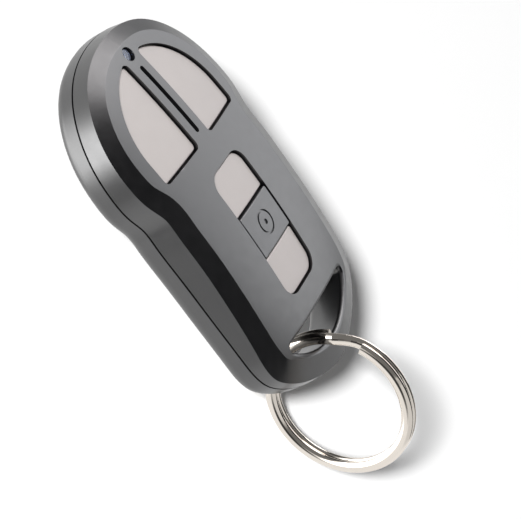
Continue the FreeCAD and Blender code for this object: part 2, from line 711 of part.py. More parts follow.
def make_circuit_board():
    """Board shaped to the inside of the case, cut back round the screws and drilled for the posts."""
    board = prism(outline(board_wire_inset()), BOARD_BOTTOM, BOARD_TOP)
    head = disc(BOARD_HEAD_RADIUS, 0, HEAD_CENTRE_Y, 0, TOO_HIGH)
    board = board.common(head.fuse(box(-REACH, REACH, BOARD_END_Y, HEAD_CENTRE_Y, 0, TOO_HIGH)))
    for x, y in screw_places():
        board = board.cut(disc(SCREW_BOSS_RADIUS + BOARD_EDGE_GAP, x, y, 0, TOO_HIGH))
        out = 1 if x > 0 else -1
        board = board.cut(box(min(x, x + out * 9), max(x, x + out * 9), -REACH,
                              y + SCREW_BOSS_RADIUS + BOARD_EDGE_GAP, 0, TOO_HIGH))
    for x, y in post_places():
        hole = BOARD_POST_SPIGOT_RADIUS + BOARD_POST_SPIGOT_GAP
        board = board.cut(disc(hole, x, y, 0, TOO_HIGH))
    return board


def make_loop_antenna():
    """Copper loop along the edge of the board's top, open at the tail end."""
    outer = prism(outline(board_wire_inset() + ANTENNA_INSET), BOARD_TOP, BOARD_TOP + ANTENNA_THICKNESS)
    inner = prism(outline(board_wire_inset() + ANTENNA_INSET + ANTENNA_WIDTH), 0, TOO_HIGH)
    loop = outer.cut(inner)
    return loop.cut(box(-REACH, REACH, -REACH, SCREW_Y + SCREW_BOSS_RADIUS + 1.6, 0, TOO_HIGH))


def make_switch_body(x, y):
    """Open plastic tray of a snap switch with four solder legs."""
    hx, hy = SWITCH_SIZE_X / 2, SWITCH_SIZE_Y / 2
    body = box(x - hx, x + hx, y - hy, y + hy, BOARD_TOP, SWITCH_TOP)
    hollow = disc(min(hx, hy) - SWITCH_WALL + 0.05, x, y, BOARD_TOP + SWITCH_FLOOR, SWITCH_TOP + 1)
    body = body.cut(hollow)
    leg_y = hy - SWITCH_LEG_WIDTH * 0.9
    for sx in (-1, 1):
        for sy in (-1, 1):
            x0 = x + sx * (hx - 0.2)
            x1 = x + sx * (hx + SWITCH_LEG_LENGTH)
            y0 = y + sy * leg_y - SWITCH_LEG_WIDTH / 2
            body = body.fuse(box(min(x0, x1), max(x0, x1), y0, y0 + SWITCH_LEG_WIDTH,
                                 BOARD_TOP, BOARD_TOP + SWITCH_LEG_THICKNESS))
    return body.removeSplitter()


def make_switch_cover(x, y):
    """Sheet-metal cover on a snap switch, with a round hole for the plunger and two side tabs."""
    hx, hy = SWITCH_SIZE_X / 2, SWITCH_SIZE_Y / 2
    top = SWITCH_TOP + SWITCH_COVER_THICKNESS
    wide = hy + SWITCH_COVER_OVERHANG
    cover = box(x - hx, x + hx, y - wide, y + wide, SWITCH_TOP, top)
    tab = hx * 0.5
    for sy in (-1, 1):
        y0 = y + sy * hy
        y1 = y + sy * (hy + SWITCH_COVER_OVERHANG)
        cover = cover.fuse(box(x - tab, x + tab, min(y0, y1), max(y0, y1), SWITCH_TOP - 0.4, SWITCH_TOP))
    cover = cover.cut(disc(PLUNGER_RADIUS + PLUNGER_GAP, x, y, SWITCH_TOP - 1, top + 1))
    return cover.removeSplitter()


def make_switch_plunger(x, y):
    """Round plunger of a snap switch, held under the cover by its rim."""
    rim_low = BOARD_TOP + SWITCH_FLOOR + BUTTON_TRAVEL + 0.03
    rim = disc(PLUNGER_RIM_RADIUS, x, y, rim_low, SWITCH_TOP - 0.02)
    stem = disc(PLUNGER_RADIUS, x, y, rim_low, PLUNGER_TOP)
    stem = stem.makeFillet(0.1, edges_near(stem, lambda p: abs(p.z - PLUNGER_TOP) < 1e-4))
    return rim.fuse(stem).removeSplitter()


def make_switch_dome(x, y):
    """Thin domed snap disc under the plunger."""
    floor = BOARD_TOP + SWITCH_FLOOR
    rise = BUTTON_TRAVEL - DOME_THICKNESS
    radius = (DOME_RADIUS ** 2 + rise ** 2) / (2 * rise)
    outer = Part.makeSphere(radius, Vector(x, y, floor + rise + DOME_THICKNESS - radius))
    inner = Part.makeSphere(radius, Vector(x, y, floor + rise - radius))
    dome = outer.cut(inner)
    return dome.common(disc(DOME_RADIUS, x, y, floor, floor + 1.0))


# Power

def make_cell_can():
    """Metal cup of the coin cell, open towards the board."""
    can = disc(CELL_RADIUS, 0, CELL_Y, CELL_BOTTOM, CELL_TOP - 0.2)
    can = can.makeFillet(0.35, edges_near(can, lambda p: abs(p.z - CELL_BOTTOM) < 1e-4))
    hollow = disc(CELL_RADIUS - CELL_CAN_WALL, 0, CELL_Y, CELL_BOTTOM + CELL_CAN_WALL, CELL_TOP + 1)
    return can.cut(hollow)


def make_cell_gasket():
    """Insulating ring between the can and the cap of the coin cell."""
    low = CELL_BOTTOM + CELL_CAN_WALL
    ring = disc(CELL_RADIUS - CELL_CAN_WALL - CELL_GASKET_GAP, 0, CELL_Y, low, CELL_TOP - 0.25)
    return ring.cut(disc(CELL_CAP_RADIUS + CELL_GASKET_GAP, 0, CELL_Y, low - 1, CELL_TOP + 1))


def make_cell_cap():
    """Cap of the coin cell, with the filling below it."""
    low = CELL_BOTTOM + CELL_CAN_WALL
    cap = disc(CELL_CAP_RADIUS, 0, CELL_Y, low, CELL_TOP)
    return cap.makeFillet(0.3, edges_near(cap, lambda p: abs(p.z - CELL_TOP) < 1e-4))


def make_battery_clip():
    """Positive contact: a strip round the cell with a foot on the board at each end."""
    inner = CELL_RADIUS + CLIP_SIDE_GAP
    outer = inner + CLIP_THICKNESS
    y0, y1 = CELL_Y - CLIP_WIDTH / 2, CELL_Y + CLIP_WIDTH / 2
    strip = box(-outer, outer, y0, y1, CELL_BOTTOM - CLIP_THICKNESS, CELL_BOTTOM)
    for side in (-1, 1):
        strip = strip.fuse(box(min(side * inner, side * outer), max(side * inner, side * outer), y0, y1,
                               CELL_BOTTOM - CLIP_THICKNESS, BOARD_BOTTOM))
        end = side * (outer + CLIP_FOOT_LENGTH)
        strip = strip.fuse(box(min(side * inner, end), max(side * inner, end), y0, y1,
                               BOARD_BOTTOM - CLIP_THICKNESS, BOARD_BOTTOM))
    return strip.removeSplitter()


def make_battery_contact():
    """Negative contact: a flat plate with a cut-out finger between cell and board."""
    half = CLIP_WIDTH / 2
    plate = disc(half + 1.0, 0, CELL_Y, CELL_TOP, BOARD_BOTTOM)
    slot = box(-half * 0.5, half * 0.5, CELL_Y - half, CELL_Y + half * 0.8, 0, TOO_HIGH)
    finger = box(-half * 0.3, half * 0.3, CELL_Y - half - 0.3, CELL_Y + half * 0.5, CELL_TOP, BOARD_BOTTOM)
    return plate.cut(slot).fuse(finger).removeSplitter()


# Soldered parts

def make_chip(x, y, along_y, below=False):
    """A small block part with a metal end cap at each end, on top of the board or below it."""
    length, width = (CHIP_WIDTH, CHIP_LENGTH) if along_y else (CHIP_LENGTH, CHIP_WIDTH)
    z0 = BOARD_BOTTOM - CHIP_HEIGHT if below else BOARD_TOP
    chip = box(x - length / 2, x + length / 2, y - width / 2, y + width / 2, z0, z0 + CHIP_HEIGHT)
    waist = 0.03
    half_x = length if along_y else length / 2 - CHIP_END
    half_y = width / 2 - CHIP_END if along_y else width
    band = box(x - half_x, x + half_x, y - half_y, y + half_y, z0 - 1, z0 + 2)
    core = box(x - length / 2 + waist, x + length / 2 - waist, y - width / 2 + waist, y + width / 2 - waist,
               z0 + waist, z0 + CHIP_HEIGHT - waist)
    return chip.cut(band.cut(core))


def make_microcontroller(x, y):
    """Eight-legged chip below the board."""
    top = BOARD_BOTTOM - 0.12
    hx, hy = CONTROLLER_WIDTH / 2, CONTROLLER_LENGTH / 2
    chip = box(x - hx, x + hx, y - hy, y + hy, top - CONTROLLER_HEIGHT, top)
    chip = chip.cut(disc(0.35, x - hx * 0.65, y + hy * 0.75, top - CONTROLLER_HEIGHT - 1,
                         top - CONTROLLER_HEIGHT + 0.12))
    knee = top - CONTROLLER_HEIGHT * 0.5
    for side in (-1, 1):
        for i in range(4):
            yc = y + (i - 1.5) * CONTROLLER_PITCH
            y0, y1 = yc - CONTROLLER_LEG_WIDTH / 2, yc + CONTROLLER_LEG_WIDTH / 2
            shoulder = side * (hx + 0.45) + x
            toe = side * (hx + 0.95) + x
            inner = side * (hx - 0.1) + x
            chip = chip.fuse(box(min(inner, shoulder), max(inner, shoulder), y0, y1, knee - 0.1, knee + 0.1))
            post = side * (hx + 0.27) + x
            chip = chip.fuse(box(min(post, shoulder), max(post, shoulder), y0, y1, knee - 0.1, BOARD_BOTTOM))
            chip = chip.fuse(box(min(post, toe), max(post, toe), y0, y1, BOARD_BOTTOM - 0.18, BOARD_BOTTOM))
    return chip.removeSplitter()


def make_saw_resonator(x, y):
    """Flat metal can of the frequency resonator below the board."""
    h = RESONATOR_SIZE / 2
    can = box(x - h, x + h, y - h, y + h, BOARD_BOTTOM - RESONATOR_HEIGHT, BOARD_BOTTOM - 0.25)
    can = can.makeFillet(0.5, edges_near(can, lambda p: abs(abs(p.x - x) - h) < 0.01 and
                                         abs(abs(p.y - y) - h) < 0.01))
    base = box(x - h - 0.2, x + h + 0.2, y - h - 0.2, y + h + 0.2, BOARD_BOTTOM - 0.3, BOARD_BOTTOM)
    return can.fuse(base).removeSplitter()


def make_rf_transistor(x, y):
    """Three-legged transistor below the board."""
    hx, hy = TRANSISTOR_LENGTH / 2, TRANSISTOR_WIDTH / 2
    top = BOARD_BOTTOM - 0.1
    body = box(x - hx, x + hx, y - hy, y + hy, top - TRANSISTOR_HEIGHT, top)
    for dx, side in ((-0.95, -1), (0.95, -1), (0.0, 1)):
        y0, y1 = y + side * (hy - 0.1), y + side * (hy + 0.6)
        body = body.fuse(box(x + dx - 0.2, x + dx + 0.2, min(y0, y1), max(y0, y1), BOARD_BOTTOM - 0.18,
                             BOARD_BOTTOM))
    return body.removeSplitter()


def make_trimmer(x, y):
    """Adjustable tuning capacitor below the board, with a screwdriver slot."""
    low = BOARD_BOTTOM - TRIMMER_HEIGHT
    body = disc(TRIMMER_RADIUS, x, y, low + 0.4, BOARD_BOTTOM)
    rotor = disc(TRIMMER_RADIUS * 0.75, x, y, low, low + 0.5)
    slot = box(x - TRIMMER_RADIUS * 0.6, x + TRIMMER_RADIUS * 0.6, y - 0.2, y + 0.2, low - 0.1, low + 0.3)
    return body.fuse(rotor).cut(slot).removeSplitter()


# Key ring

def ring_section(angle, axial):
    """Cross-section of one turn at an angle round the ring: crowned on both faces, round at both edges."""
    middle = (RING_INNER_RADIUS + RING_OUTER_RADIUS) / 2
    low, high = RING_INNER_RADIUS + RING_EDGE_BULGE, RING_OUTER_RADIUS - RING_EDGE_BULGE
    thin, thick = RING_EDGE_THICKNESS / 2, RING_TURN_THICKNESS / 2
    around = [(low, -thin), (middle, -thick), (high, -thin), (RING_OUTER_RADIUS, 0.0), (high, thin),
              (middle, thick), (low, thin), (RING_INNER_RADIUS, 0.0), (low, -thin)]
    points = [Vector(axial + a, r, 0) for r, a in around]
    wire = Part.Wire([Part.Arc(*points[i:i + 3]).toShape() for i in (0, 2, 4, 6)])
    wire.rotate(Vector(0, 0, 0), Vector(1, 0, 0), angle)
    return wire


def make_split_ring():
    """Two turns of wire joined by a slanted step, turned and placed through the slot."""
    offset = (RING_TURN_THICKNESS + RING_TURN_GAP) / 2
    sweep = 360.0 - RING_JOG_ANGLE
    start = RING_JOG_START + RING_JOG_ANGLE
    axis = Vector(1, 0, 0)
    first = Part.Face(ring_section(start, -offset)).revolve(Vector(0, 0, 0), axis, sweep)
    second = Part.Face(ring_section(start, offset)).revolve(Vector(0, 0, 0), axis, sweep)
    steps = 6
    sections = []
    for i in range(steps + 1):
        t = i / steps
        ease = t * t * (3 - 2 * t)
        sections.append(ring_section(start + sweep + RING_JOG_ANGLE * t, -offset + 2 * offset * ease))
    step = Part.makeLoft(sections, True, True)
    ring = first.fuse(step).fuse(second)
    ring.rotate(Vector(0, 0, 0), Vector(0, 0, 1), -RING_YAW)
    ring.translate(Vector(RING_CENTRE_X, RING_CENTRE_Y, RING_CENTRE_Z))
    return ring


# All nodes

def build_nodes():
    """Every named piece of the transmitter."""
    nodes = {
        "front_cover": make_front_cover(),
        "rear_cover": make_rear_cover(),
        "case_screws": make_case_screws(),
        "left_button": make_leaf_button(-1),
        "right_button": make_leaf_button(1),
        "upper_button": make_pocket_button(UPPER_SPLIT_Y, POCKET_TOP_Y, False, True, BUTTON_RECESS),
        "middle_button": make_middle_button(),
        "lower_button": make_pocket_button(POCKET_BOTTOM_Y, LOWER_SPLIT_Y, True, False, BUTTON_RECESS),
        "silicone_keypad": make_silicone_keypad(),
        "led_lens": make_led_lens(),
        "circuit_board": make_circuit_board(),
        "loop_antenna": make_loop_antenna(),
        "indicator_led": make_chip(0.0, LENS_Y, False),
        "cell_can": make_cell_can(),
        "cell_gasket": make_cell_gasket(),
        "cell_cap": make_cell_cap(),
        "battery_clip": make_battery_clip(),
        "battery_contact": make_battery_contact(),
        "microcontroller": make_microcontroller(-5.0, -7.0),
        "saw_resonator": make_saw_resonator(5.2, -6.4),
        "rf_transistor": make_rf_transistor(4.6, -12.6),
        "tuning_trimmer": make_trimmer(-4.4, -13.8),
        "led_resistor": make_chip(0.0, 19.6, True),
        "bias_resistor": make_chip(0.6, -13.0, True, True),
        "pullup_resistor": make_chip(-9.2, -6.0, True, True),
        "supply_capacitor": make_chip(0.4, -6.0, True, True),
        "coupling_capacitor": make_chip(8.0, -11.4, True, True),
        "antenna_capacitor": make_chip(0.4, -17.6, False, True),
        "split_ring": make_split_ring(),
    }
    for name, (x, y) in SWITCHES.items():
        nodes[name + "_switch_body"] = make_switch_body(x, y)
        nodes[name + "_switch_cover"] = make_switch_cover(x, y)
        nodes[name + "_switch_plunger"] = make_switch_plunger(x, y)
        nodes[name + "_switch_dome"] = make_switch_dome(x, y)
    return nodes


os.makedirs("parts", exist_ok=True)
for node_name, node_shape in build_nodes().items():
    node_shape.exportStep("parts/" + node_name + ".step")
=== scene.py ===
"""Key fob transmitter: finishes for its parts, even shading of its covers, and a small studio."""
from __future__ import annotations

import logging
import math
from dataclasses import dataclass
from enum import Enum

import bpy
from mathutils import Matrix, Vector


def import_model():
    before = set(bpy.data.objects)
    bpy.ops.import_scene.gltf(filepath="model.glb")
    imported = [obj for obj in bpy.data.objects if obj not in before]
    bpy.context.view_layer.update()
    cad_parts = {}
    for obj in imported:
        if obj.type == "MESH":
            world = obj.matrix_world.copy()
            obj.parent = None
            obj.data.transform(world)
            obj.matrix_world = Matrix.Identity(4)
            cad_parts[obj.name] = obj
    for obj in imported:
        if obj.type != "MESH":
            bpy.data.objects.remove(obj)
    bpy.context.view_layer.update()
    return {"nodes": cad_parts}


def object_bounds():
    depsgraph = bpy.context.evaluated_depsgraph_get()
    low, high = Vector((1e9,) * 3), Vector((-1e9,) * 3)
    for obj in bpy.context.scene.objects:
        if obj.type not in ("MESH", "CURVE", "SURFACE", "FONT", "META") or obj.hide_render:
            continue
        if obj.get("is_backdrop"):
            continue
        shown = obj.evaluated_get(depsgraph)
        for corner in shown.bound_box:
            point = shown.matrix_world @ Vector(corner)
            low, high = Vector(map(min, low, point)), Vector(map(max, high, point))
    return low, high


LOG = logging.getLogger("key_fob")
MM = 0.001
NOISE_LOW = 0.3
NOISE_HIGH = 0.7
Colour = tuple[float, float, float]
Triple = tuple[float, float, float]
Socket = bpy.types.NodeSocket
Parts = dict[str, bpy.types.Object]


class Tint(Enum):
    """Plastic colours of the fob, as linear red, green and blue."""

    CASE = (0.0035, 0.0035, 0.0041)
    SILVER_KEY = (0.470, 0.435, 0.420)
    DARK_KEY = (0.016, 0.017, 0.019)
    SILICONE = (0.018, 0.018, 0.020)
    SWITCH_BODY = (0.012, 0.012, 0.013)
    PLUNGER = (0.300, 0.110, 0.030)
    CHIP = (0.014, 0.014, 0.016)
    CERAMIC = (0.360, 0.250, 0.150)
    GASKET = (0.300, 0.320, 0.360)


class NodeSheet:
    """The node tree of a material or of the room, with short ways to add and join nodes."""

    def __init__(self, owner: bpy.types.Material | bpy.types.World) -> None:
        """Empty the owner's node tree.

        Args:
            owner: The material or the world that the nodes belong to.
        """
        self.owner = owner
        owner.use_nodes = True
        self.tree = owner.node_tree
        self.tree.nodes.clear()

    @classmethod
    def for_material(cls, name: str) -> NodeSheet:
        """Start a new material."""
        return cls(bpy.data.materials.new(name))

    def add(self, kind: str, **sockets: object) -> bpy.types.Node:
        """Add a node and set its sockets.

        Args:
            kind: The node's type name.
            sockets: Socket names, with underscores for spaces, and their values or source sockets.

        Returns:
            The new node.
        """
        node = self.tree.nodes.new(kind)
        for name, value in sockets.items():
            socket = node.inputs[name.replace("_", " ")]
            if isinstance(value, Socket):
                self.link(value, socket)
            else:
                socket.default_value = value
        return node

    def link(self, source: Socket, target: Socket) -> None:
        """Join two sockets."""
        self.tree.links.new(source, target)

    def place(self) -> Socket:
        """The place on the piece in its own metres, which rides with the piece."""
        return self.add("ShaderNodeTexCoord").outputs["Object"]

    def noise(self, scale: float, detail: float = 2.0, stretch: Triple = (1.0, 1.0, 1.0),
              rough: float = 0.5) -> Socket:
        """Cloudy noise over the piece.

        Args:
            scale: Blobs in one metre.
            detail: How many finer layers are added.
            stretch: Scale along each axis.
            rough: Strength of the finer layers.

        Returns:
            The noise as a value socket.
        """
        mapping = self.add("ShaderNodeMapping", Vector=self.place(), Scale=stretch)
        texture = self.add("ShaderNodeTexNoise", Vector=mapping.outputs["Vector"], Scale=scale,
                           Detail=detail, Roughness=rough)
        return texture.outputs["Fac"]

    def ranged(self, value: Socket, low: float, high: float, start: float = 0.0, end: float = 1.0,
               eased: bool = False) -> Socket:
        """A value moved from one range to another, held inside it.

        Args:
            value: The value socket.
            low: What comes out at the start.
            high: What comes out at the end.
            start: Where the range of the value starts.
            end: Where the range of the value ends.
            eased: Whether the change starts and ends softly.

        Returns:
            The moved value as a socket.
        """
        node = self.add("ShaderNodeMapRange", Value=value, From_Min=start, From_Max=end, To_Min=low,
                        To_Max=high)
        if eased:
            node.interpolation_type = "SMOOTHSTEP"
        return node.outputs["Result"]

    def gloss(self, pattern: Socket, middle: float, spread: float) -> Socket:
        """A roughness that wanders about its middle value with a noise pattern."""
        return self.ranged(pattern, middle - spread, middle + spread, NOISE_LOW, NOISE_HIGH)

    def blend(self, share: Socket, first: Colour, second: Colour) -> Socket:
        """A colour between two colours, by a share from 0 to 1."""
        ramp = self.add("ShaderNodeValToRGB", Fac=share)
        ramp.color_ramp.elements[0].color = (*first, 1.0)
        ramp.color_ramp.elements[1].color = (*second, 1.0)
        return ramp.outputs["Color"]

    def bump(self, height: Socket, distance: float, base: Socket | None = None) -> Socket:
        """A bumped surface direction.

        Args:
            height: The height pattern.
            distance: Its full height in metres.
            base: A surface direction that is bumped already.

        Returns:
            The direction socket.
        """
        node = self.add("ShaderNodeBump", Height=height, Distance=distance, Strength=1.0)
        if base is not None:
            self.link(base, node.inputs["Normal"])
        return node.outputs["Normal"]

    def surface(self, **sockets: object) -> bpy.types.Material:
        """Add the surface shader, join it to the output and hand the material over."""
        shader = self.add("ShaderNodeBsdfPrincipled", **sockets)
        self.add("ShaderNodeOutputMaterial", Surface=shader.outputs["BSDF"])
        return self.owner


def toned(colour: Colour, factor: float) -> Colour:
    """A colour made lighter or darker by a factor."""
    return tuple(min(1.0, c * factor) for c in colour)


@dataclass(frozen=True)
class MouldedPlastic:
    """Moulded plastic or rubber with a fine eroded grain, soft mottling and slight unevenness."""

    name: str
    tint: Tint
    roughness: float = 0.42
    spread: float = 0.06
    mottle: float = 0.08
    grain_size: float = 0.16 * MM
    grain_height: float = 0.003 * MM
    wave_height: float = 0.004 * MM
    ior: float = 1.5
    cloud_scale: float = 260.0
    patch_scale: float = 700.0
    wave_scale: float = 180.0

    def make(self) -> bpy.types.Material:
        """Build the material."""
        sheet = NodeSheet.for_material(self.name)
        colour = sheet.blend(sheet.noise(self.cloud_scale, 3.0), toned(self.tint.value, 1.0 - self.mottle),
                             toned(self.tint.value, 1.0 + self.mottle))
        patches = sheet.noise(self.patch_scale, 4.0, rough=0.6)
        gloss = sheet.gloss(patches, self.roughness, self.spread)
        grain = sheet.bump(sheet.noise(1.0 / self.grain_size, rough=0.65), self.grain_height)
        normal = sheet.bump(sheet.noise(self.wave_scale, 1.0), self.wave_height, base=grain)
        return sheet.surface(Base_Color=colour, Roughness=gloss, Normal=normal, IOR=self.ior)


@dataclass(frozen=True)
class PlatedMetal:
    """Plated or plain metal with faint drawing lines and small changes of gloss."""

    name: str
    colour: Colour
    roughness: float = 0.16
    spread: float = 0.05
    line_height: float = 0.0006 * MM
    lines: Triple = (1.0, 1.0, 1.0)
    cloud_scale: float = 420.0
    patch_scale: float = 1500.0
    line_scale: float = 2600.0

    def make(self) -> bpy.types.Material:
        """Build the material."""
        sheet = NodeSheet.for_material(self.name)
        colour = sheet.blend(sheet.noise(self.cloud_scale, 3.0), toned(self.colour, 0.94),
                             toned(self.colour, 1.04))
        gloss = sheet.gloss(sheet.noise(self.patch_scale, 4.0), self.roughness, self.spread)
        scratches = sheet.noise(self.line_scale, 3.0, self.lines, 0.7)
        normal = sheet.bump(scratches, self.line_height)
        return sheet.surface(Base_Color=colour, Roughness=gloss, Normal=normal, Metallic=1.0)


@dataclass(frozen=True)
class ClearPlastic:
    """Clear moulded plastic with a faint tint and slight flow marks."""

    name: str
    colour: Colour
    roughness: float = 0.08
    flow_scale: float = 900.0
    flow_height: float = 0.004 * MM
    patch_scale: float = 2500.0
    ior: float = 1.49
    clearness: float = 0.75

    def make(self) -> bpy.types.Material:
        """Build the material."""
        sheet = NodeSheet.for_material(self.name)
        flow = sheet.noise(self.flow_scale)
        colour = sheet.blend(flow, toned(self.colour, 0.92), toned(self.colour, 1.05))
        patches = sheet.noise(self.patch_scale, 3.0)
        gloss = sheet.ranged(patches, self.roughness * 0.6, self.roughness * 1.5)
        return sheet.surface(Base_Color=colour, Roughness=gloss, Normal=sheet.bump(flow, self.flow_height),
                             IOR=self.ior, Transmission_Weight=self.clearness)


@dataclass(frozen=True)
class BoardLaminate:
    """Printed board: solder mask with faint copper tracks under it and a fine glass weave."""

    name: str
    mask: Colour = (0.010, 0.085, 0.030)
    over_copper: Colour = (0.030, 0.160, 0.060)
    track_pitch: float = 1.3 * MM
    track_height: float = 0.02 * MM
    track_edge: tuple[float, float] = (0.32, 0.40)
    weave_scale: float = 4200.0
    weave_height: float = 0.003 * MM
    roughness: tuple[float, float] = (0.28, 0.40)

    def make(self) -> bpy.types.Material:
        """Build the material."""
        sheet = NodeSheet.for_material(self.name)
        cells = sheet.add("ShaderNodeTexVoronoi", Vector=sheet.place(), Scale=1.0 / self.track_pitch)
        cells.distance = "MANHATTAN"
        cells.feature = "F1"
        tracks = sheet.ranged(cells.outputs["Distance"], 1.0, 0.0, *self.track_edge)
        colour = sheet.blend(tracks, self.mask, self.over_copper)
        weave = sheet.noise(self.weave_scale, 1.0)
        first = sheet.bump(weave, self.weave_height)
        normal = sheet.bump(tracks, self.track_height, base=first)
        gloss = sheet.ranged(weave, *self.roughness)
        return sheet.surface(Base_Color=colour, Roughness=gloss, Normal=normal)


def dress(nodes: Parts, material: bpy.types.Material, *names: str) -> None:
    """Give parts of the frame their finish.

    Args:
        nodes: The frame's parts by name.
        material: The finish.
        names: The names of the parts that get it.
    """
    for name in names:
        slots = nodes[name].data.materials
        slots.clear()
        slots.append(material)
        LOG.info("%s wears %s", name, material.name)


def straighten_normals(mesh: bpy.types.Mesh, limit: float = math.radians(20.0)) -> None:
    """Give corners that are shaded far off their own face the direction of that face.

    Args:
        mesh: The mesh of a cover, which has slivers along its parting line.
        limit: The greatest angle between a corner's shading and its face that is left as it is.
    """
    normals = [corner.vector.copy() for corner in mesh.corner_normals]
    least = math.cos(limit)
    for face in mesh.polygons:
        for corner in face.loop_indices:
            if normals[corner].dot(face.normal) < least:
                normals[corner] = face.normal.copy()
    mesh.normals_split_custom_set(normals)


@dataclass(frozen=True)
class CaseShell:
    """Front and rear covers with their screws."""

    covers: tuple[str, ...] = ("front_cover", "rear_cover")
    plastic: MouldedPlastic = MouldedPlastic("case_plastic", Tint.CASE, roughness=0.31, spread=0.03,
                                             mottle=0.06, ior=2.1)
    steel: PlatedMetal = PlatedMetal("screw_steel", (0.42, 0.42, 0.44), roughness=0.3)

    def dress(self, nodes: Parts) -> None:
        """Finish the covers and the screws."""
        dress(nodes, self.plastic.make(), *self.covers)
        for name in self.covers:
            straighten_normals(nodes[name].data)
        dress(nodes, self.steel.make(), "case_screws")


@dataclass(frozen=True)
class KeySet:
    """The five keys: four silver ones and the dark one in the middle."""

    silver: MouldedPlastic = MouldedPlastic("silver_key_plastic", Tint.SILVER_KEY, roughness=0.5,
                                            spread=0.04, mottle=0.035, grain_size=0.12 * MM,
                                            grain_height=0.0015 * MM)
    dark: MouldedPlastic = MouldedPlastic("dark_key_plastic", Tint.DARK_KEY, roughness=0.34, spread=0.03,
                                          mottle=0.05, ior=2.1)

    def dress(self, nodes: Parts) -> None:
        """Finish the keys."""
        dress(nodes, self.silver.make(), "left_button", "right_button", "upper_button", "lower_button")
        dress(nodes, self.dark.make(), "middle_button")


@dataclass(frozen=True)
class Indicator:
    """The light guide near the head and the light below it."""

    lens: ClearPlastic = ClearPlastic("lens_plastic", (0.50, 0.56, 0.72))
    lamp: ClearPlastic = ClearPlastic("lamp_resin", (0.70, 0.72, 0.62), roughness=0.3)

    def dress(self, nodes: Parts) -> None:
        """Finish the lens and the light."""
        dress(nodes, self.lens.make(), "led_lens")
        dress(nodes, self.lamp.make(), "indicator_led")


@dataclass(frozen=True)
class InnerParts:
    """Everything inside the case: keypad sheet, board, switches and the coin cell."""

    switches: tuple[str, ...] = ("left", "right", "upper", "middle", "lower")
    rubber: MouldedPlastic = MouldedPlastic("keypad_silicone", Tint.SILICONE, roughness=0.7, spread=0.05)
    black: MouldedPlastic = MouldedPlastic("switch_plastic", Tint.SWITCH_BODY, roughness=0.55)
    amber: MouldedPlastic = MouldedPlastic("plunger_plastic", Tint.PLUNGER, roughness=0.45)
    resin: MouldedPlastic = MouldedPlastic("chip_resin", Tint.CHIP, roughness=0.6)
    fired: MouldedPlastic = MouldedPlastic("fired_ceramic", Tint.CERAMIC, roughness=0.5)
    gasket: MouldedPlastic = MouldedPlastic("gasket_plastic", Tint.GASKET, roughness=0.5)
    bright: PlatedMetal = PlatedMetal("contact_steel", (0.60, 0.58, 0.54), roughness=0.25,
                                      lines=(6.0, 0.6, 1.0))
    can: PlatedMetal = PlatedMetal("cell_steel", (0.63, 0.63, 0.64), roughness=0.22)
    copper: PlatedMetal = PlatedMetal("tinned_copper", (0.72, 0.45, 0.26), roughness=0.3)
    board: BoardLaminate = BoardLaminate("board_laminate")

    def each_switch(self, piece: str) -> list[str]:
        """The names of one piece in all the switches."""
        return [f"{switch}_switch_{piece}" for switch in self.switches]

    def dress(self, nodes: Parts) -> None:
        """Finish the inner parts."""
        dress(nodes, self.rubber.make(), "silicone_keypad")
        dress(nodes, self.black.make(), *self.each_switch("body"))
        dress(nodes, self.amber.make(), *self.each_switch("plunger"))
        dress(nodes, self.resin.make(), "microcontroller", "rf_transistor", "led_resistor",
              "bias_resistor", "pullup_resistor")
        dress(nodes, self.fired.make(), "tuning_trimmer", "supply_capacitor", "coupling_capacitor",
              "antenna_capacitor")
        dress(nodes, self.gasket.make(), "cell_gasket")
        dress(nodes, self.bright.make(), "battery_clip", "battery_contact", *self.each_switch("cover"),
              *self.each_switch("dome"))
        dress(nodes, self.can.make(), "cell_can", "cell_cap", "saw_resonator")
        dress(nodes, self.copper.make(), "loop_antenna")
        dress(nodes, self.board.make(), "circuit_board")


@dataclass(frozen=True)
class KeyRing:
    """The nickel-plated split ring through the tail."""

    nickel: PlatedMetal = PlatedMetal("ring_nickel", (0.76, 0.705, 0.64), roughness=0.09, spread=0.03,
                                      line_height=0.0003 * MM)

    def dress(self, nodes: Parts) -> None:
        """Finish the ring."""
        dress(nodes, self.nickel.make(), "split_ring")


@dataclass(frozen=True)
class ViewPoint:
    """The camera, placed and turned by three directions seen in the picture."""

    place: Triple = (-0.26930, 0.08513, 0.21100)
    right: Triple = (0.357713, -0.584776, 0.728065)
    upward: Triple = (0.517605, 0.773090, 0.366629)
    backward: Triple = (-0.777256, 0.245702, 0.579227)
    aim_right: float = 0.01035
    aim_down: float = 0.03408
    lens_mm: float = 164.97
    sensor_mm: float = 36.0
    nearest: float = 0.01
    farthest: float = 20.0

    def build(self) -> None:
        """Make the camera the scene's own."""
        right = Vector(self.right)
        forward = self.aim_right * right - self.aim_down * Vector(self.upward) - Vector(self.backward)
        forward.normalize()
        side = (right - right.dot(forward) * forward).normalized()
        turn = Matrix((side, side.cross(forward), -forward)).transposed().to_4x4()
        data = bpy.data.cameras.new("product_camera")
        data.lens = self.lens_mm
        data.sensor_width = self.sensor_mm
        data.clip_start = self.nearest
        data.clip_end = self.farthest
        camera = bpy.data.objects.new("product_camera", data)
        camera.matrix_world = Matrix.Translation(self.place) @ turn
        bpy.context.scene.collection.objects.link(camera)
        bpy.context.scene.camera = camera
        LOG.info("camera at %s", self.place)


